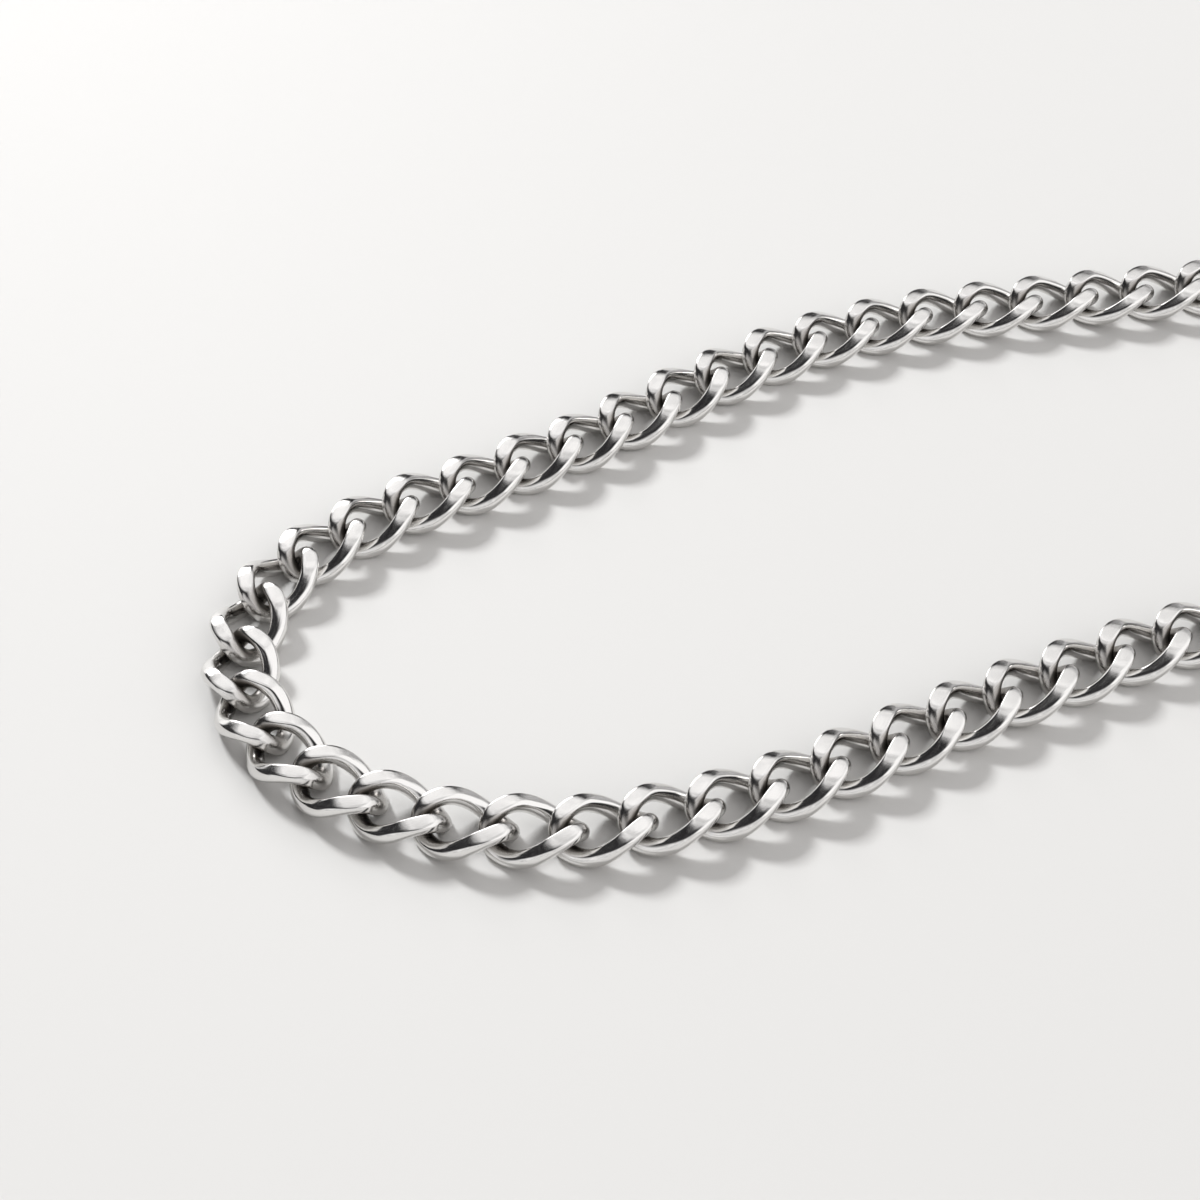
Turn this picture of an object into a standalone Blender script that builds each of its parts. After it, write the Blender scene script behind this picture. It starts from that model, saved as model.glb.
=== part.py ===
"""Curb chain necklace, 9 mm wide and 45 cm long, lying flat and closed.

Every link is an oval of round wire, twisted about the line of the chain, so
that each one lies almost flat through the next. The finished chain is ground
flat above and below. All the links are alike. They follow one closed route,
joint by joint, and a plain clasp closes the loop.

Metres, +Z up. The chain rests on z = 0 and the loop is centred on the origin.
"""

import math

import bmesh
import bpy
import numpy as np
from mathutils import Matrix

MM = 0.001

# Driving sizes of the chain
link_count = 57
chain_width = 9.0 * MM
wire = 2.1 * MM
link_length = 12.0 * MM
chain_thickness = 4.0 * MM
link_twist = math.radians(50)
link_squareness = 0.9

# Play between two neighbouring links, and between a link and the clasp
clearance = 0.3 * MM

# Solder that holds the links of one run together, hidden where their wires cross
bead_width = 1.0 * MM
bead_bite = 0.5 * MM

# Driving sizes of the clasp
clasp_span = 22.5 * MM
clasp_belly_width = 7.5 * MM
clasp_belly_height = 4.4 * MM
clasp_neck = 1.6 * MM
clasp_tab_length = 3.6 * MM
clasp_tab_offset = 1.4 * MM
clasp_tab_width = 1.8 * MM
clasp_tab_thickness = 1.5 * MM

# Facets round a link, round its wire and round the belly of the clasp
link_sides = 12
wire_sides = 6
belly_rings = 10

# Links from the clasp's right end, round the right of the loop and along the
# near side, that make the right run. The rest are the left run.
right_links = 24

# Route of the chain in plan, in millimetres, chosen by hand. It starts in the
# hidden stretch at the clasp's right end and runs clockwise.
route_mm = [
    (63.0, 48.0),
    (78.0, 44.0),
    (89.5, 34.0),
    (93.5, 19.0),
    (89.0, 4.5),
    (76.5, -4.5),
    (61.0, -8.7),
    (45.5, -11.5),
    (30.0, -14.5),
    (14.5, -18.5),
    (0.5, -24.5),
    (-13.5, -31.5),
    (-27.5, -39.0),
    (-42.0, -45.0),
    (-57.0, -48.0),
    (-72.0, -46.0),
    (-86.0, -38.5),
    (-93.8, -25.5),
    (-91.5, -10.5),
    (-80.5, 0.5),
    (-67.0, 8.0),
    (-53.5, 16.0),
    (-41.0, 25.0),
    (-27.5, 33.5),
    (-13.0, 39.0),
    (2.0, 42.0),
    (17.5, 44.3),
    (33.0, 46.5),
    (48.0, 48.0),
]
route_samples = 160

# Worked out from the sizes above
pitch = link_length - 2 * wire - clearance
mid_height = chain_thickness / 2
link_overhang = (link_length - pitch) / 2
belly_length = clasp_span - 2 * (link_overhang + clasp_neck)

parts = bpy.data.collections.new("curb_chain_necklace")
cutters = bpy.data.collections.new("cutters")


def clear_scene():
    for obj in list(bpy.data.objects):
        bpy.data.objects.remove(obj, do_unlink=True)


def metal(name, colour, roughness):
    material = bpy.data.materials.new(name)
    material.use_nodes = True
    shader = material.node_tree.nodes["Principled BSDF"]
    shader.inputs["Base Color"].default_value = (*colour, 1.0)
    shader.inputs["Metallic"].default_value = 1.0
    shader.inputs["Roughness"].default_value = roughness
    return material


def closed_curve(points, samples):
    """A Catmull-Rom curve through a closed ring of points."""
    before = np.roll(points, 1, axis=0)[:, None, :]
    start = points[:, None, :]
    end = np.roll(points, -1, axis=0)[:, None, :]
    after = np.roll(points, -2, axis=0)[:, None, :]
    u = np.linspace(0, 1, samples, endpoint=False)[None, :, None]
    curve = (
        2 * start
        + (end - before) * u
        + (2 * before - 5 * start + 4 * end - after) * u**2
        + (3 * start - before - 3 * end + after) * u**3
    ) / 2
    return curve.reshape(-1, 2)


def joints_along(curve, step, count):
    """Points on the curve, each one a straight step from the one before."""
    joints = [curve[0]]
    index = 0
    for _ in range(count):
        here = joints[-1]
        while np.linalg.norm(curve[(index + 1) % len(curve)] - here) < step:
            index += 1
        low = curve[index % len(curve)]
        run = curve[(index + 1) % len(curve)] - low
        back = low - here
        a, b, c = run @ run, 2 * back @ run, back @ back - step**2
        joints.append(low + run * (-b + math.sqrt(b * b - 4 * a * c)) / (2 * a))
    return np.array(joints)


def place_joints():
    """Scale the route until the clasp just closes the loop of whole links."""
    route = closed_curve(np.array(route_mm) * MM, route_samples)
    length = np.linalg.norm(np.roll(route, -1, axis=0) - route, axis=1).sum()
    scale = (link_count * pitch + clasp_span) / length
    for _ in range(8):
        joints = joints_along(route * scale, pitch, link_count)
        gap = np.linalg.norm(joints[-1] - joints[0])
        scale += (clasp_span - gap) / length
    return joints - (joints.min(axis=0) + joints.max(axis=0)) / 2


def link_centreline():
    """An oval ring, twisted by an angle that grows with the way along the link."""
    half_length = (link_length - wire) / 2
    half_width = (chain_width - wire) / 2
    t = np.linspace(0, 2 * math.pi, link_sides, endpoint=False)
    along = half_length * np.cos(t)
    across = half_width * np.sign(np.sin(t)) * np.abs(np.sin(t)) ** link_squareness
    turn = -link_twist * along / half_length
    return np.stack([along, across * np.cos(turn), across * np.sin(turn)], axis=1)


def wire_sections(centre):
    """The ring of points round the wire at each point of the centreline.

    Each section is a circle across the wire, cut by the flats above and below.
    Where neither flat reaches the wire it is a regular hexagon.
    """
    radius = wire / 2
    tangent = np.roll(centre, -1, axis=0) - np.roll(centre, 1, axis=0)
    outward = np.cross(tangent, (0.0, 0.0, 1.0))
    upward = np.cross(outward, tangent)
    outward /= np.linalg.norm(outward, axis=1, keepdims=True)
    upward /= np.linalg.norm(upward, axis=1, keepdims=True)
    full = radius * math.sin(math.pi / 3)
    top = np.minimum(full, (mid_height - centre[:, 2]) / upward[:, 2])
    bottom = np.maximum(-full, (-mid_height - centre[:, 2]) / upward[:, 2])
    middle = (top + bottom) / 2
    rise = np.stack([middle, top, top, middle, bottom, bottom], axis=1)
    side = np.array([1, 1, -1, -1, -1, 1]) * np.sqrt(radius**2 - rise**2)
    return centre[:, None, :] + side[..., None] * outward[:, None, :] + rise[..., None] * upward[:, None, :]


def link_mesh():
    """A loft through the sections of the wire, once round the link."""
    points = wire_sections(link_centreline())
    ring = np.arange(link_sides)[:, None]
    side = np.arange(wire_sides)[None, :]
    after = (ring + 1) % link_sides
    beside = (side + 1) % wire_sides
    corners = [(ring, side), (after, side), (after, beside), (ring, beside)]
    faces = np.stack([i * wire_sides + j for i, j in corners], axis=-1).reshape(-1, 4)
    mesh = bpy.data.meshes.new("link")
    mesh.from_pydata(points.reshape(-1, 3).tolist(), [], faces.tolist())
    return mesh


def bead_mesh():
    """A stub of solder along the chain, long enough to bite into both wires."""
    stub = bmesh.new()
    bmesh.ops.create_cone(
        stub,
        cap_ends=True,
        segments=wire_sides,
        radius1=bead_width / 2,
        radius2=bead_width / 2,
        depth=clearance + 2 * bead_bite,
        matrix=Matrix.Rotation(math.pi / 2, 4, "Y"),
    )
    mesh = bpy.data.meshes.new("bead")
    stub.to_mesh(mesh)
    stub.free()
    return mesh


def placed(point, heading):
    """A place on the chain's middle plane, turned to a heading in plan."""
    turn = Matrix.Rotation(math.atan2(heading[1], heading[0]), 4, "Z")
    return Matrix.Translation((*point, mid_height)) @ turn


def link_place(joints, index):
    """Where a link sits: midway between its two joints, in line with them."""
    start, end = joints[index], joints[index + 1]
    return placed((start + end) / 2, end - start)


def bead_place(joints, index):
    """Where solder sits: at the joint, along the mean of the links on both sides."""
    return placed(joints[index], joints[index + 1] - joints[index - 1])


def join_copies(name, mesh, places, collection):
    """One object that holds a copy of the mesh at each place."""
    combined = bmesh.new()
    for place in places:
        copy = mesh.copy()
        copy.transform(place)
        combined.from_mesh(copy)
        bpy.data.meshes.remove(copy)
    result = bpy.data.meshes.new(name)
    combined.to_mesh(result)
    combined.free()
    return add_object(name, result, collection)


def add_object(name, mesh, collection):
    obj = bpy.data.objects.new(name, mesh)
    collection.objects.link(obj)
    if collection == cutters:
        obj.hide_render = True
        obj.display_type = "WIRE"
    return obj


def unite(obj, other):
    modifier = obj.modifiers.new(f"unite_{other.name}", "BOOLEAN")
    modifier.operation = "UNION"
    modifier.solver = "EXACT"
    modifier.object = other


def finish(obj, material):
    obj.data.materials.append(material)
    obj.data.shade_smooth()
    obj.data.set_sharp_from_angle(angle=math.radians(35))


def chain_run(name, first, last, joints, material):
    """The links from first up to last, soldered at the joints between them."""
    links = [link_place(joints, index) for index in range(first, last)]
    beads = [bead_place(joints, index) for index in range(first + 1, last)]
    run = join_copies(name, link_mesh(), links, parts)
    unite(run, join_copies(f"{name}_solder", bead_mesh(), beads, cutters))
    finish(run, material)


def lobster_clasp(joints, material):
    """A belly between two eyes, each eye shaped like a link so that it hangs like one."""
    start, end = joints[-1], joints[0]
    forward = (end - start) / np.linalg.norm(end - start)
    middle = placed((start + end) / 2, forward)
    eyes = [placed(start + forward * pitch / 2, forward), placed(end - forward * pitch / 2, forward)]
    clasp = join_copies("lobster_clasp", link_mesh(), eyes, parts)

    on_floor = middle @ Matrix.Translation((0, 0, clasp_belly_height / 2 - mid_height))
    belly = bmesh.new()
    bmesh.ops.create_uvsphere(belly, u_segments=2 * belly_rings, v_segments=belly_rings, radius=0.5)
    belly.transform(Matrix.Diagonal((belly_length, clasp_belly_width, clasp_belly_height, 1)))
    belly.transform(on_floor)
    belly_shape = bpy.data.meshes.new("belly")
    belly.to_mesh(belly_shape)
    belly.free()
    unite(clasp, add_object("belly", belly_shape, cutters))

    tab = bmesh.new()
    inward = Matrix.Translation((clasp_tab_offset, -clasp_belly_width / 2, 0))
    bmesh.ops.create_cube(tab, size=1.0)
    tab.transform(Matrix.Diagonal((clasp_tab_length, 2 * clasp_tab_width, clasp_tab_thickness, 1)))
    tab.transform(on_floor @ inward)
    tab_shape = bpy.data.meshes.new("thumb_tab")
    tab.to_mesh(tab_shape)
    tab.free()
    unite(clasp, add_object("thumb_tab", tab_shape, cutters))
    finish(clasp, material)


def main():
    clear_scene()
    bpy.context.scene.collection.children.link(parts)
    bpy.context.scene.collection.children.link(cutters)

    steel = metal("polished_steel", (0.80, 0.79, 0.78), 0.12)
    joints = place_joints()
    chain_run("chain_right", 0, right_links, joints, steel)
    chain_run("chain_left", right_links, link_count, joints, steel)
    lobster_clasp(joints, steel)


main()
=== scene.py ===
# %% [markdown]
# # A curb chain necklace
#
# The real thing is a bold polished steel chain. Every link is the same oval of
# round wire, twisted so that it lies almost flat through its neighbours, and
# the finished chain is ground flat on both faces. The solids that carry the
# weight and the collision are coarse. This lesson puts the fine surface over
# them: true round wire, crisp ground facets and the marks of polishing.

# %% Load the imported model
import math

import bmesh
import bpy
import numpy as np
from mathutils import Matrix, Vector


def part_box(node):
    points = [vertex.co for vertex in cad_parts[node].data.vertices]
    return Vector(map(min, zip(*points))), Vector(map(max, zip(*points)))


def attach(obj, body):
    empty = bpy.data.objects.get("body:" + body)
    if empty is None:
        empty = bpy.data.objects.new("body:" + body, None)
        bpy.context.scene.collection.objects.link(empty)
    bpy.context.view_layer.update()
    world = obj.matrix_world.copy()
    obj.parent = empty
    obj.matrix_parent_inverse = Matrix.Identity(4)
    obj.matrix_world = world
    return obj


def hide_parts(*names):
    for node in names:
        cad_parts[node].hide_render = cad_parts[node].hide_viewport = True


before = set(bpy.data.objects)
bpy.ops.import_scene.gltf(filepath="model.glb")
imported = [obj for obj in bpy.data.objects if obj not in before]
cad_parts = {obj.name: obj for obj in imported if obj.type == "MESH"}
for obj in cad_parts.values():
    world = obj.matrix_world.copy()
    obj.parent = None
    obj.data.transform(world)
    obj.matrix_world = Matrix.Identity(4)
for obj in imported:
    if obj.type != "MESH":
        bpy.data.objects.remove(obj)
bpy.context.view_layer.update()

# %% [markdown]
# ## Sizes
#
# A model that is dressed over another one has to use the same sizes, so the
# few that shape a link are repeated here in metres. The chain's thickness is
# read from the solids, which shows at once if the two ever disagree.

# %% Sizes of the chain
MM = 0.001
link_count = 57
chain_width = 9.0 * MM
wire = 2.1 * MM
link_length = 12.0 * MM
link_twist = math.radians(50)
link_squareness = 0.9
clearance = 0.3 * MM
clasp_span = 22.5 * MM
right_links = 24

chain_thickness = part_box("chain_left")[1][2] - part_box("chain_left")[0][2]
pitch = link_length - 2 * wire - clearance
mid_height = chain_thickness / 2
half_length = (link_length - wire) / 2
half_width = (chain_width - wire) / 2
radius = wire / 2
print(f"thickness {chain_thickness / MM:.2f} mm, pitch {pitch / MM:.2f} mm")

# %% [markdown]
# ## The way the chain lies
#
# A chain can't follow a curve the way a rope does: its joints sit on the curve
# and each link spans straight from one joint to the next. So the route is a
# smooth closed curve through a few listed points, and the joints are
# found by walking along it with a pair of dividers set to one pitch. The whole
# route is scaled a little until the clasp exactly closes the loop.

# %% The route and its joints
route_mm = [
    (63.0, 48.0),
    (78.0, 44.0),
    (89.5, 34.0),
    (93.5, 19.0),
    (89.0, 4.5),
    (76.5, -4.5),
    (61.0, -8.7),
    (45.5, -11.5),
    (30.0, -14.5),
    (14.5, -18.5),
    (0.5, -24.5),
    (-13.5, -31.5),
    (-27.5, -39.0),
    (-42.0, -45.0),
    (-57.0, -48.0),
    (-72.0, -46.0),
    (-86.0, -38.5),
    (-93.8, -25.5),
    (-91.5, -10.5),
    (-80.5, 0.5),
    (-67.0, 8.0),
    (-53.5, 16.0),
    (-41.0, 25.0),
    (-27.5, 33.5),
    (-13.0, 39.0),
    (2.0, 42.0),
    (17.5, 44.3),
    (33.0, 46.5),
    (48.0, 48.0),
]
route_samples = 160
scaling_rounds = 8


def closed_curve(points, samples):
    """A Catmull-Rom curve through a closed ring of points.

    Between two points the curve is a cubic in u whose slope at each end is
    half the step from the point before to the point after.
    """
    before = np.roll(points, 1, axis=0)[:, None, :]
    start = points[:, None, :]
    end = np.roll(points, -1, axis=0)[:, None, :]
    after = np.roll(points, -2, axis=0)[:, None, :]
    u = np.linspace(0, 1, samples, endpoint=False)[None, :, None]
    curve = (
        2 * start
        + (end - before) * u
        + (2 * before - 5 * start + 4 * end - after) * u**2
        + (3 * start - before - 3 * end + after) * u**3
    ) / 2
    return curve.reshape(-1, 2)


def joints_along(curve, step, count):
    """Points on the curve, each one a straight step from the one before.

    On the stretch where the distance passes the step, the exact place solves
    the quadratic |low + s run - here| = step for s.
    """
    joints = [curve[0]]
    index = 0
    for _ in range(count):
        here = joints[-1]
        while np.linalg.norm(curve[(index + 1) % len(curve)] - here) < step:
            index += 1
        low = curve[index % len(curve)]
        run = curve[(index + 1) % len(curve)] - low
        back = low - here
        a, b, c = run @ run, 2 * back @ run, back @ back - step**2
        joints.append(low + run * (-b + math.sqrt(b * b - 4 * a * c)) / (2 * a))
    return np.array(joints)


def place_joints():
    """Scale the route until the clasp just closes the loop of whole links."""
    route = closed_curve(np.array(route_mm) * MM, route_samples)
    length = np.linalg.norm(np.roll(route, -1, axis=0) - route, axis=1).sum()
    scale = (link_count * pitch + clasp_span) / length
    for _ in range(scaling_rounds):
        joints = joints_along(route * scale, pitch, link_count)
        gap = np.linalg.norm(joints[-1] - joints[0])
        scale += (clasp_span - gap) / length
    return joints - (joints.min(axis=0) + joints.max(axis=0)) / 2


joints = place_joints()
closing_gap = np.linalg.norm(joints[-1] - joints[0])
print(f"{link_count} links, the clasp spans {closing_gap / MM:.2f} mm")

# %% [markdown]
# ## One link
#
# The wire's centreline is an oval, a little squarer than an ellipse, turned
# about the chain's own line by an angle that grows from one end to the other.
# That is what a jeweller does with two pairs of pliers. The oval could be a
# bevelled curve object, but then nothing could be ground off it, so the surface
# is worked out directly: a grid of rings along the wire and points round it.

# %% The centreline of a link
link_rings = 84
oval_samples = 4001


def oval(t):
    """Twisted oval, for t from 0 to one turn.

    Along the chain it is half the length times cos t. Across, it is half the
    width times sin t with its size raised to the squareness. The turn about
    the chain's line is minus the twist times the share of the half length.
    """
    along = half_length * np.cos(t)
    across = half_width * np.sign(np.sin(t)) * np.abs(np.sin(t)) ** link_squareness
    turn = -link_twist * along / half_length
    return np.stack([along, across * np.cos(turn), across * np.sin(turn)], axis=-1)


def even_oval(count):
    """The same oval, with its points an equal length of wire apart."""
    fine = oval(np.linspace(0, 2 * math.pi, oval_samples))
    steps = np.linalg.norm(np.diff(fine, axis=0), axis=1)
    travelled = np.concatenate([[0], np.cumsum(steps)])
    wanted = np.linspace(0, travelled[-1], count, endpoint=False)
    even = np.stack([np.interp(wanted, travelled, fine[:, k]) for k in range(3)], axis=-1)
    return even, travelled[-1]


centreline, wire_length = even_oval(link_rings)
arm_rise = centreline[:, 2].max() / MM
print(f"each link takes {wire_length / MM:.1f} mm of wire, its arms reach {arm_rise:.2f} mm up")

# %% [markdown]
# ## Grinding the flats
#
# A ring of points round the wire is a circle in the plane across it. A ground
# face cuts the circle where it stands above the face, so the cut part is a
# chord. The points are shared out so that one always falls on the edge of the
# chord: that keeps the edge of a facet crisp along its whole length. The edge
# itself is rounded by 0.15 mm, as a polishing wheel leaves it.
#
# The wheel is soft, so a face is level only at the raised end of its arm. Where
# a level cut would run out of the wire, the wheel bends down along the arm
# instead and rolls outward. That draws the facet out into a long leaf, makes its
# reflections run from light to dark, and leaves a round band on the inner side.

# %% The surface of a link
side_points = 11
flat_points = 6
edge_rounding = 0.15 * MM
leaf_cut = 0.87 * MM
leaf_start = -0.35 * half_length
leaf_end = 0.65 * half_length
leaf_tip = -0.7 * half_length
leaf_blend = 0.6 * MM
leaf_out = 1.15 * radius
leaf_roll = math.radians(10)
cross_radius = 20 * MM

# How low and how high on the wire's circle the edge of a face may lie, as sines
lowest_cut = -0.9
highest_cut = math.sin(math.radians(80))


def eased(count):
    """Shares from 0 up to 1 that crowd together at both ends, 1 left out."""
    return (1 - np.cos(np.pi * np.arange(count) / count)) / 2


def soft_minimum(a, b, width):
    """The smaller of two values, with the corner where they cross rounded over a width."""
    mix = np.clip(0.5 + 0.5 * (b - a) / width, 0, 1)
    return b + (a - b) * mix - width * mix * (1 - mix)


def smooth_step(low, high, value):
    """0 below low, 1 above high, and 3 s squared minus 2 s cubed between them."""
    share = np.clip((value - low) / (high - low), 0, 1)
    return share * share * (3 - 2 * share)


def cut_face(level_cut, down_the_arm):
    """How high above the middle of the wire a ground face lies, and its roll.

    The height is the smaller of the level cut and the leaf's own height, which
    grows from the leaf cut to more than the wire's radius by smooth steps: a
    long one down the arm and a short one up to the tip of the raised end. The
    roll grows from 0 to its full angle where the leaf takes over.
    """
    uncut = smooth_step(leaf_start, leaf_end, down_the_arm)
    uncut = uncut + smooth_step(-leaf_tip, half_length, -down_the_arm)
    leaf = leaf_cut + (leaf_out - leaf_cut) * uncut
    roll = leaf_roll * smooth_step(-leaf_blend, leaf_blend, level_cut - leaf)
    return soft_minimum(level_cut, leaf, leaf_blend), roll


def ground_off(level, rise, cut, roll):
    """Points round the wire, let down onto a face, and how far each one sank.

    The face's own upward is turned by the roll from up towards outward, so the
    height over the wire's middle is rise cos(roll) plus level sin(roll). The
    face is crowned: it sinks by the way across it squared over twice the cross
    radius.
    """
    height = rise * np.cos(roll) + level * np.sin(roll)
    across = level * np.cos(roll) - rise * np.sin(roll)
    sunk = height - soft_minimum(height, cut - across**2 / (2 * cross_radius), edge_rounding)
    return level - sunk * np.sin(roll), rise - sunk * np.cos(roll), sunk


def wire_surface(centre):
    """Grid of points, ring by ring, on the ground wire of one link.

    Outward is level and square to the wire, upward square to both. A point of
    a ring is the centre plus r cos(angle) outward plus r sin(angle) upward,
    then ground off above and below. The angles run from the lower edge on the
    outer side to the upper one, over the flat, down the inner side and back
    under. The arm with y above 0 is high where x is below 0, and the other way
    round, so x times the sign of y runs down each arm from its raised end.
    """
    tangent = np.roll(centre, -1, axis=0) - np.roll(centre, 1, axis=0)
    outward = np.cross(tangent, (0.0, 0.0, 1.0))
    upward = np.cross(outward, tangent)
    outward /= np.linalg.norm(outward, axis=1, keepdims=True)
    upward /= np.linalg.norm(upward, axis=1, keepdims=True)
    down_the_arm = np.where(centre[:, 1] < 0, -1, 1) * centre[:, 0]
    level_top = ((mid_height - centre[:, 2]) / upward[:, 2])[:, None]
    level_bottom = ((mid_height + centre[:, 2]) / upward[:, 2])[:, None]
    top, top_roll = cut_face(level_top, down_the_arm[:, None])
    bottom, bottom_roll = cut_face(level_bottom, -down_the_arm[:, None])
    upper = np.arcsin(np.clip(top / radius, lowest_cut, highest_cut))
    lower = np.arcsin(np.clip(bottom / radius, lowest_cut, highest_cut))
    side, flat = eased(side_points)[None, :], eased(flat_points)[None, :]
    outer_low, outer_high = bottom_roll - lower, upper - top_roll
    inner_high, inner_low = math.pi - upper - top_roll, math.pi + lower + bottom_roll
    angle = np.concatenate(
        [
            outer_low + (outer_high - outer_low) * side,
            outer_high + (inner_high - outer_high) * flat,
            inner_high + (inner_low - inner_high) * side,
            inner_low + (2 * math.pi + outer_low - inner_low) * flat,
        ],
        axis=1,
    )
    level, rise = radius * np.cos(angle), radius * np.sin(angle)
    level, rise, sunk_top = ground_off(level, rise, top, top_roll)
    level, fall, sunk_bottom = ground_off(level, -rise, bottom, bottom_roll)
    rise = np.clip(-fall, -level_bottom, level_top)
    ground = np.clip(np.maximum(sunk_top, sunk_bottom) / edge_rounding, 0, 1)
    place = centre[:, None, :] + level[..., None] * outward[:, None, :]
    return place + rise[..., None] * upward[:, None, :], ground


link_points, link_ground = wire_surface(centreline)
around = link_points.shape[1]
print(f"a link is {link_rings} rings of {around} points, {2 * link_rings * around} triangles")

# %% [markdown]
# ## Marks for the finish
#
# Three things steer the finish, and each is kept on the mesh: the UV map holds
# millimetres along and round the wire, so scratches can run along it; "facet"
# is 1 on a ground flat; and "crevice" is 1 deep in a joint, where the neighbour
# rubs, polish never reaches and grime stays, and where painted shade darkens the
# colour of the inner sides.

# %% Crevices and the mesh maker
# The crevice share falls from the core to the reach. It dulls the gloss, and it darkens the
# colour with grime and painted shade.
crevice_core = 1.3 * MM
crevice_reach = 3.3 * MM
link_shift_mm = 37.0


def crevice_share(points, ground):
    """1 near a joint, falling to 0 at the reach, and 0 on the ground flats."""
    away = np.full(points.shape[:2], np.inf)
    for end in (-pitch / 2, pitch / 2):
        away = np.minimum(away, np.linalg.norm(points - np.array([end, 0, 0]), axis=-1))
    return (1 - smooth_step(crevice_core, crevice_reach, away)) * (1 - ground)


link_crevice = crevice_share(link_points, link_ground)


def set_attribute(mesh, name, values):
    """One number for each vertex, under a name that a material can read."""
    attribute = mesh.attributes.new(name, "FLOAT", "POINT")
    attribute.data.foreach_set("value", np.ascontiguousarray(values, dtype=np.float32).ravel())


def ring_mesh(name, copies, ground, crevice, length):
    """A mesh of closed tubes, from an array of copies by rings by points round.

    On the UV map each copy is shifted along by a fixed length, so that no two
    links carry the same scratches.
    """
    count, rings, ring = copies.shape[:3]
    mesh = bpy.data.meshes.new(name)
    copy, i, j = np.meshgrid(np.arange(count), np.arange(rings), np.arange(ring), indexing="ij")
    steps = [(0, 0), (1, 0), (1, 1), (0, 1)]
    corners = [(copy * rings + (i + a) % rings) * ring + (j + b) % ring for a, b in steps]
    faces = np.stack(corners, axis=-1).reshape(-1, 4)
    along = [(i + a) / rings * length / MM + copy * link_shift_mm for a, b in steps]
    across = [(j + b) / ring * math.pi * wire / MM for a, b in steps]
    mesh.vertices.add(count * rings * ring)
    mesh.vertices.foreach_set("co", copies.astype(np.float32).ravel())
    mesh.loops.add(faces.size)
    mesh.loops.foreach_set("vertex_index", faces.astype(np.int32).ravel())
    mesh.polygons.add(len(faces))
    mesh.polygons.foreach_set("loop_start", np.arange(0, faces.size, 4, dtype=np.int32))
    mesh.update(calc_edges=True)
    uv = np.stack([np.stack(along, axis=-1), np.stack(across, axis=-1)], axis=-1)
    mesh.uv_layers.new(name="wire_mm").data.foreach_set("uv", uv.astype(np.float32).ravel())
    set_attribute(mesh, "facet", np.broadcast_to(ground, (count, rings, ring)))
    set_attribute(mesh, "crevice", np.broadcast_to(crevice, (count, rings, ring)))
    mesh.shade_smooth()
    return mesh


# %% [markdown]
# ## Laying the links
#
# Each link sits midway between its two joints and points from one to the next.
# In a loose chain no two links lie quite alike: each one rocks by a degree or
# so about its own middle, which is what gives neighbouring facets different
# tones. The rocking is drawn from a seeded generator, so it never changes.

# %% Place every link
rocking = math.radians(1.2)
rocking_seed = 11
most_rocking = 2 * rocking
generator = np.random.default_rng(rocking_seed)
link_rock = generator.normal(0, rocking, (link_count, 2)).clip(-most_rocking, most_rocking)


def turned(points, rock):
    """Points rocked about the chain's line by the first angle, and nodded by the second."""
    c, s = math.cos(rock[0]), math.sin(rock[0])
    about_x = np.array([[1, 0, 0], [0, c, -s], [0, s, c]])
    c, s = math.cos(rock[1]), math.sin(rock[1])
    about_y = np.array([[c, 0, s], [0, 1, 0], [-s, 0, c]])
    return points @ (about_y @ about_x).T


def laid(points, start, end, rock):
    """A link's points, turned to its place between two joints and let down to the floor."""
    heading = (end - start) / np.linalg.norm(end - start)
    rocked = turned(points, rock)
    x = rocked[..., 0] * heading[0] - rocked[..., 1] * heading[1]
    y = rocked[..., 0] * heading[1] + rocked[..., 1] * heading[0]
    middle = (start + end) / 2
    z = rocked[..., 2] - rocked[..., 2].min()
    return np.stack([x + middle[0], y + middle[1], z], axis=-1)


def add_piece(name, mesh):
    """An object for a mesh, put in the scene."""
    piece = bpy.data.objects.new(name, mesh)
    bpy.context.scene.collection.objects.link(piece)
    return piece


def chain_links(name, first, last):
    """One piece with every link from first up to last."""
    run = range(first, last)
    copies = [laid(link_points, joints[k], joints[k + 1], link_rock[k]) for k in run]
    mesh = ring_mesh(name, np.stack(copies), link_ground, link_crevice, wire_length)
    return add_piece(name, mesh)


right_run = chain_links("links_right", 0, right_links)
left_run = chain_links("links_left", right_links, link_count)
for run, node in ((right_run, "chain_right"), (left_run, "chain_left")):
    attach(run, "root")
    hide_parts(node)
    print(run.name, "has", 2 * len(run.data.polygons), "triangles")

# %% [markdown]
# ## The clasp
#
# The clasp is at the back of the neck and out of sight, so it is a plain
# lobster clasp with its own small surface details: a rounded belly, two eyes
# shaped like the links that they hook into, and a thumb tab. Each body is a
# surface of two angles, and one union makes them a single closed casting.

# %% Clasp
clasp_belly_width = 7.5 * MM
clasp_belly_height = 4.4 * MM
clasp_neck = 1.6 * MM
clasp_tab_length = 3.6 * MM
clasp_tab_offset = 1.4 * MM
clasp_tab_width = 1.8 * MM
clasp_tab_thickness = 1.5 * MM
belly_power, belly_rows, belly_columns = 1.0, 64, 112
tab_power, tab_rows, tab_columns = 0.45, 24, 48
belly_length = clasp_span - 2 * ((link_length - pitch) / 2 + clasp_neck)


def rounded_power(value, power):
    """The size of a value raised to a power, with its sign kept."""
    return np.sign(value) * np.abs(value) ** power


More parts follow.
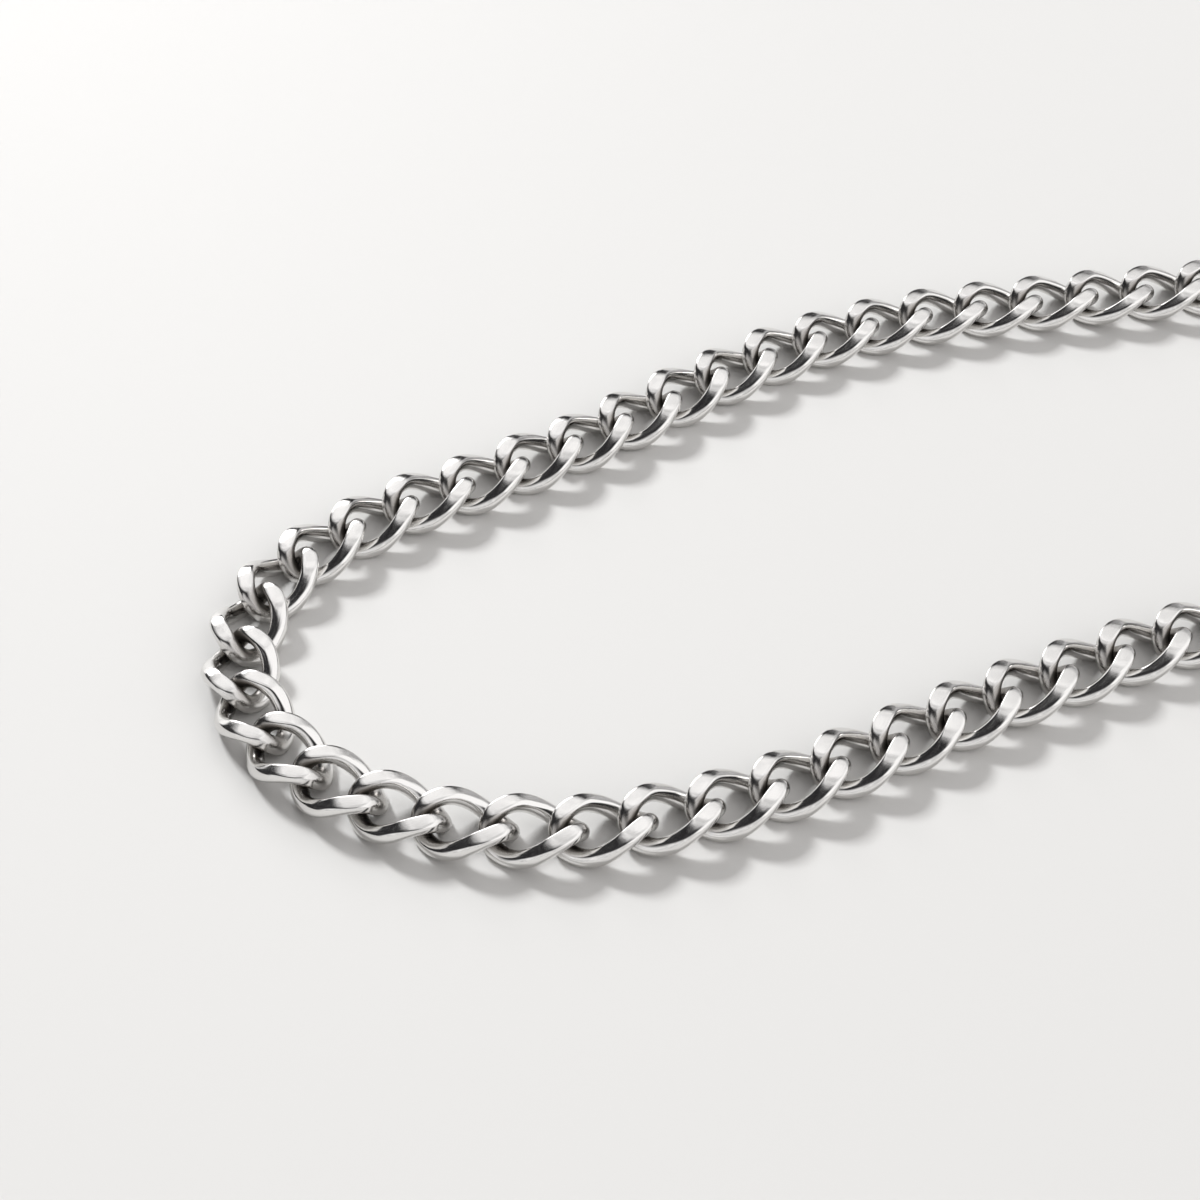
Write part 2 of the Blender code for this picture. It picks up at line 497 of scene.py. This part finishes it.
def superellipsoid(size, power, rows, columns):
    """Closed surface of a latitude and a longitude.

    The three coordinates are the half sizes times cos lat cos lon, cos lat
    sin lon and sin lat, each cosine and sine raised to a power: 1 gives an
    ellipsoid and a small power a box with round edges.
    """
    latitude = np.linspace(-math.pi / 2, math.pi / 2, rows + 1)[1:-1, None]
    longitude = np.linspace(0, 2 * math.pi, columns, endpoint=False)[None, :]
    flat = rounded_power(np.cos(latitude), power)
    x = flat * rounded_power(np.cos(longitude), power)
    y = flat * rounded_power(np.sin(longitude), power)
    z = rounded_power(np.sin(latitude), power) * np.ones_like(longitude)
    half = np.array(size) / 2
    body = np.stack([x, y, z], axis=-1).reshape(-1, 3) * half
    vertices = np.concatenate([body, [[0, 0, -half[2]], [0, 0, half[2]]]])
    i, j = np.meshgrid(np.arange(rows - 2), np.arange(columns), indexing="ij")
    row, row_above, beside = i * columns, (i + 1) * columns, (j + 1) % columns
    walls = np.stack([row + j, row + beside, row_above + beside, row_above + j], -1)
    edge = np.arange(columns)
    after = (edge + 1) % columns
    south = np.stack([np.full(columns, len(body)), after, edge], -1)
    top_row = (rows - 2) * columns
    north = np.stack([np.full(columns, len(body) + 1), top_row + edge, top_row + after], -1)
    faces = walls.reshape(-1, 4).tolist() + south.tolist() + north.tolist()
    return vertices, faces


def body_mesh(name, vertices, faces):
    """A clean polished body, with its UV map laid on it from above in millimetres."""
    mesh = bpy.data.meshes.new(name)
    mesh.from_pydata(vertices.tolist(), [], faces)
    corners = np.concatenate([np.array(face) for face in faces])
    uv = (vertices[corners, :2] / MM).astype(np.float32)
    mesh.uv_layers.new(name="wire_mm").data.foreach_set("uv", uv.ravel())
    for mark in ("facet", "crevice"):
        set_attribute(mesh, mark, np.zeros(len(vertices)))
    mesh.shade_smooth()
    return mesh


def clasp_piece():
    """The eyes, the belly and the thumb tab, laid between the last joint and the first."""
    start, end = joints[-1], joints[0]
    forward = (end - start) / np.linalg.norm(end - start)
    level = np.zeros(2)
    eyes = np.stack(
        [
            laid(link_points, start, start + forward * pitch, level),
            laid(link_points, end - forward * pitch, end, level),
        ]
    )
    eye_mesh = ring_mesh("clasp_body", eyes, link_ground, link_crevice, wire_length)
    clasp = add_piece("clasp_body", eye_mesh)
    turn = Matrix.Rotation(math.atan2(forward[1], forward[0]), 4, "Z")
    middle = Matrix.Translation((*((start + end) / 2), clasp_belly_height / 2)) @ turn
    belly_size = (belly_length, clasp_belly_width, clasp_belly_height)
    belly_form = superellipsoid(belly_size, belly_power, belly_rows, belly_columns)
    belly = body_mesh("belly", *belly_form)
    belly.transform(middle)
    tab_size = (clasp_tab_length, 2 * clasp_tab_width, clasp_tab_thickness)
    tab = body_mesh("thumb_tab", *superellipsoid(tab_size, tab_power, tab_rows, tab_columns))
    tab.transform(middle @ Matrix.Translation((clasp_tab_offset, -clasp_belly_width / 2, 0)))
    helpers = [add_piece(mesh.name, mesh) for mesh in (belly, tab)]
    for helper in helpers:
        union = clasp.modifiers.new(helper.name, "BOOLEAN")
        union.operation = "UNION"
        union.solver = "EXACT"
        union.object = helper
    evaluated = clasp.evaluated_get(bpy.context.evaluated_depsgraph_get())
    whole = bpy.data.meshes.new_from_object(evaluated)
    clasp.modifiers.clear()
    clasp.data = whole
    for helper in helpers:
        bpy.data.objects.remove(helper)
    return clasp


clasp = clasp_piece()
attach(clasp, "root")
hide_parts("lobster_clasp")
clasp_edges = bmesh.new()
clasp_edges.from_mesh(clasp.data)
open_edges = sum(not edge.is_manifold for edge in clasp_edges.edges)
print("clasp:", len(clasp.data.polygons), "faces, open edges:", open_edges)
clasp_edges.free()

# %% [markdown]
# ## Polished steel
#
# Polished steel has almost no colour of its own: what is seen is the room in
# it. What makes it look real is how the polish varies. Round wire keeps a clear
# gloss with faint lines along it from drawing. The ground flats carry fine
# hairlines from the wheel and are a shade duller. Joints are dull and brownish
# from grime, and their colour is darkened further by painted shade.

# %% Steel material
hairline_stretch, hairline_turn = (0.6, 6.0), math.radians(12)
cross_stretch, cross_turn = (1.2, 4.5), math.radians(-55)
smear_stretch, smear_turn = (0.35, 0.7), 0.4
scratch_height = 0.02 * MM
steel_colour = (0.80, 0.79, 0.775, 1)
# The joint colour: brownish grime, and also painted shade where the neighbour link shades the
# wire.
grime_and_shade_colour = (0.12, 0.10, 0.08, 1)


def new_node(tree, kind, **inputs):
    """A new node, with its sockets set by their names."""
    made = tree.nodes.new(kind)
    for name, value in inputs.items():
        made.inputs[name.replace("_", " ")].default_value = value
    return made


def mapped(tree, source, low, high, new_low, new_high):
    """A value carried from one range to another, and held within it."""
    ranged = new_node(tree, "ShaderNodeMapRange")
    sockets = ("From Min", "From Max", "To Min", "To Max")
    for socket, value in zip(sockets, (low, high, new_low, new_high)):
        ranged.inputs[socket].default_value = value
    tree.links.new(source, ranged.inputs["Value"])
    return ranged.outputs["Result"]


def combined(tree, operation, *values):
    """One value that is all the given ones added or multiplied together, in turn."""
    result = values[0]
    for value in values[1:]:
        step = tree.nodes.new("ShaderNodeMath")
        step.operation = operation
        tree.links.new(result, step.inputs[0])
        tree.links.new(value, step.inputs[1])
        result = step.outputs["Value"]
    return result


def streaks(tree, coordinates, stretch, turn, detail):
    """Noise drawn out into lines by a Mapping node.

    The stretch gives the lines for each millimetre along and across, and the
    turn lays them slanting, in radians.
    """
    mapping = new_node(tree, "ShaderNodeMapping")
    mapping.inputs["Scale"].default_value = (*stretch, 1.0)
    mapping.inputs["Rotation"].default_value = (0, 0, turn)
    noise = new_node(tree, "ShaderNodeTexNoise", Scale=1.0, Detail=detail, Roughness=0.6)
    tree.links.new(coordinates, mapping.inputs["Vector"])
    tree.links.new(mapping.outputs["Vector"], noise.inputs["Vector"])
    return noise.outputs["Fac"]


def polished_steel():
    """Scratches give the bump, smears and grime dull the gloss, and grime with painted shade
    darkens the joints.
    """
    material = bpy.data.materials.new("polished_steel")
    material.use_nodes = True
    tree = material.node_tree
    shader = tree.nodes["Principled BSDF"]
    shader.inputs["Metallic"].default_value = 1.0
    uv = tree.nodes.new("ShaderNodeUVMap")
    uv.uv_map = "wire_mm"
    facet = tree.nodes.new("ShaderNodeAttribute")
    facet.attribute_name = "facet"
    crevice = tree.nodes.new("ShaderNodeAttribute")
    crevice.attribute_name = "crevice"

    hairlines = streaks(tree, uv.outputs["UV"], hairline_stretch, hairline_turn, 3.0)
    cross_hairs = streaks(tree, uv.outputs["UV"], cross_stretch, cross_turn, 2.0)
    smears = streaks(tree, uv.outputs["UV"], smear_stretch, smear_turn, 2.0)

    scratched = mapped(tree, facet.outputs["Fac"], 0, 1, 0.35, 1.0)
    marks = combined(tree, "ADD", hairlines, cross_hairs)
    marks = combined(tree, "MULTIPLY", marks, scratched)
    bump = new_node(tree, "ShaderNodeBump", Strength=0.4, Distance=scratch_height)
    tree.links.new(marks, bump.inputs["Height"])
    tree.links.new(bump.outputs["Normal"], shader.inputs["Normal"])

    dullness = combined(
        tree,
        "ADD",
        mapped(tree, smears, 0.3, 0.7, 0.05, 0.13),
        mapped(tree, facet.outputs["Fac"], 0, 1, 0.0, 0.05),
        mapped(tree, crevice.outputs["Fac"], 0, 1, 0.0, 0.25),
    )
    tree.links.new(dullness, shader.inputs["Roughness"])

    tint = tree.nodes.new("ShaderNodeMix")
    tint.data_type = "RGBA"
    tint.inputs["A"].default_value = steel_colour
    tint.inputs["B"].default_value = grime_and_shade_colour
    # Near the joints the colour is pulled towards the joint colour: real grime, and painted
    # shade on the inner sides of the wire.
    grime_and_shade = mapped(tree, crevice.outputs["Fac"], 0.1, 1, 0.0, 0.8)
    tree.links.new(grime_and_shade, tint.inputs["Factor"])
    tree.links.new(tint.outputs["Result"], shader.inputs["Base Color"])
    return material


steel = polished_steel()
for piece in (right_run, left_run, clasp):
    piece.data.materials.clear()
    piece.data.materials.append(steel)
print("steel has", len(steel.node_tree.nodes), "nodes")

# %% [markdown]
# ## The floor
#
# A plain pale floor takes the shadows. It is wide enough to fill the view from
# any side, and it is left out of the necklace's body, so it is no part of the necklace.

# %% Floor
floor_reach = 3.0
floor_colour = (0.688, 0.678, 0.661, 1)
floor_roughness = 0.45
floor_mesh = bpy.data.meshes.new("floor")
floor_corners = np.array([(-1, -1, 0), (1, -1, 0), (1, 1, 0), (-1, 1, 0)], float) * floor_reach
floor_mesh.from_pydata(floor_corners.tolist(), [], [(0, 1, 2, 3)])
floor = add_piece("floor", floor_mesh)
floor_paint = bpy.data.materials.new("floor_paint")
floor_paint.use_nodes = True
floor_shader = floor_paint.node_tree.nodes["Principled BSDF"]
floor_shader.inputs["Base Color"].default_value = floor_colour
floor_shader.inputs["Roughness"].default_value = floor_roughness
floor.data.materials.append(floor_paint)

# %% [markdown]
# ## The room in the metal
#
# Bright metal is lit by what it mirrors. The camera looks down at 45 degrees,
# so a level facet mirrors the part of the room behind the chain and 45 degrees
# up: a pale panel hangs there. The leaves roll away from it, and mirror the dark
# left side of the room or the grey corner on the right. The round wire takes its
# light bands from the wall on the right and the room behind the camera, and its
# dark lines from the ceiling. Every zone is worked out from the direction alone.

# %% Room light
darkest_tone = (0.02, 0.0195, 0.021, 1)
lightest_tone = (0.99, 0.98, 0.98, 1)
room_strength = 1.22
pane_strength = 4.0

room = bpy.data.worlds.new("room")
room.use_nodes = True
bpy.context.scene.world = room
room_tree = room.node_tree
direction = room_tree.nodes.new("ShaderNodeTexCoord")
parts_of = room_tree.nodes.new("ShaderNodeSeparateXYZ")
room_tree.links.new(direction.outputs["Generated"], parts_of.inputs["Vector"])
room_noise = new_node(room_tree, "ShaderNodeTexNoise", Scale=5.0, Detail=2.0, Roughness=0.5)
room_tree.links.new(direction.outputs["Generated"], room_noise.inputs["Vector"])


def patch(azimuth, elevation, full, gone, tone):
    """A soft round patch of the room: its full tone within one angle, gone by another.

    The azimuth runs from +Y towards +X, and every angle is in degrees.
    """
    turn, lift = math.radians(azimuth), math.radians(elevation)
    out = math.cos(lift)
    middle = (math.sin(turn) * out, math.cos(turn) * out, math.sin(lift))
    towards = room_tree.nodes.new("ShaderNodeVectorMath")
    towards.operation = "DOT_PRODUCT"
    towards.inputs[1].default_value = middle
    room_tree.links.new(direction.outputs["Generated"], towards.inputs[0])
    edges = math.cos(math.radians(gone)), math.cos(math.radians(full))
    return mapped(room_tree, towards.outputs["Value"], *edges, 0.0, tone)


behind = combined(
    room_tree,
    "MULTIPLY",
    mapped(room_tree, parts_of.outputs["Y"], -0.2, 0.2, 0.0, 1.0),
    mapped(room_tree, parts_of.outputs["Z"], 0.4, 0.62, 0.0, 1.0),
    mapped(room_tree, parts_of.outputs["Z"], 0.8, 0.95, 1.0, 0.6),
    mapped(room_tree, parts_of.outputs["X"], 0.12, 0.55, 1.0, 0.6),
    mapped(room_tree, parts_of.outputs["X"], -0.5, -0.15, 0.0, 1.0),
    mapped(room_tree, room_noise.outputs["Fac"], 0.38, 0.62, 0.7, 1.0),
)
in_front = combined(
    room_tree,
    "MULTIPLY",
    mapped(room_tree, parts_of.outputs["Y"], -0.45, -0.2, 1.0, 0.0),
    mapped(room_tree, parts_of.outputs["Z"], 0.5, 0.8, 1.0, 0.0),
    mapped(room_tree, room_noise.outputs["Fac"], 0.38, 0.62, 0.5, 0.7),
)

# Each patch by its azimuth, elevation, reach of the full tone, reach of any tone, and tone
pane = patch(-16, 23, 8, 14, 1.0)
right_wall = patch(100, 38, 28, 50, 0.9)
low_window = patch(-28, 3, 9, 18, 1.0)
grey_corner = patch(32, 10, 10, 26, 0.42)

clutter = new_node(room_tree, "ShaderNodeTexNoise", Scale=16.0, Detail=3.0, Roughness=0.6)
room_tree.links.new(direction.outputs["Generated"], clutter.inputs["Vector"])
dim_things = mapped(room_tree, clutter.outputs["Fac"], 0.54, 0.66, 0.0, 0.25)
zones = (behind, in_front, pane, right_wall, low_window, grey_corner, dim_things)
room_tone = combined(room_tree, "ADD", *zones)

wall = room_tree.nodes.new("ShaderNodeValToRGB")
wall.color_ramp.interpolation = "EASE"
wall.color_ramp.elements[0].color = darkest_tone
wall.color_ramp.elements[1].color = lightest_tone
room_tree.links.new(room_tone, wall.inputs["Fac"])
backdrop = room_tree.nodes["Background"]
room_tree.links.new(wall.outputs["Color"], backdrop.inputs["Color"])
strength = mapped(room_tree, pane, 0.0, 1.0, room_strength, pane_strength)
room_tree.links.new(strength, backdrop.inputs["Strength"])
print("the room has", len(zones), "zones and", len(room_tree.nodes), "nodes")

# %% [markdown]
# ## The lamp
#
# One soft lamp at the left behind gives the shadows. The metal doesn't mirror
# it, because its image would burn out whole facets. The sparkles come from the
# small bright pane near it.

# %% Lamp
daylight = (0.97, 0.985, 1.0)
loop_middle = (-0.03, 0.0, 0.0)
window_place = (-0.95, 1.25, 1.15)
window_size = 0.34
window_watts = 38


def soft_light(name, place, aim, size, power):
    """A square area light at a place, turned to face another. Metal doesn't mirror it."""
    lamp = bpy.data.lights.new(name, "AREA")
    lamp.shape = "RECTANGLE"
    lamp.size = lamp.size_y = size
    lamp.energy = power
    lamp.color = daylight
    holder = bpy.data.objects.new(name, lamp)
    holder.location = place
    holder.rotation_mode = "QUATERNION"
    holder.rotation_quaternion = (Vector(aim) - Vector(place)).to_track_quat("-Z", "Y")
    holder.visible_glossy = False
    bpy.context.scene.collection.objects.link(holder)
    return holder


soft_light("window", window_place, loop_middle, window_size, window_watts)

# %% [markdown]
# ## The camera
#
# A long lens from above and in front sees the left part of the loop, with the
# clasp and the right bend out of the picture.

# %% Camera
camera_place = (-0.05236, -0.22675, 0.216)
camera_down = math.radians(45)
lens_mm = 78.0
sensor_mm = 36.0
nearest_seen = 0.01
camera_data = bpy.data.cameras.new("camera")
camera_data.lens = lens_mm
camera_data.sensor_width = sensor_mm
camera_data.clip_start = nearest_seen
camera = bpy.data.objects.new("camera", camera_data)
camera.location = camera_place
camera.rotation_euler = (math.pi / 2 - camera_down, 0, 0)
bpy.context.scene.collection.objects.link(camera)
bpy.context.scene.camera = camera
bpy.context.scene.view_settings.view_transform = "Standard"
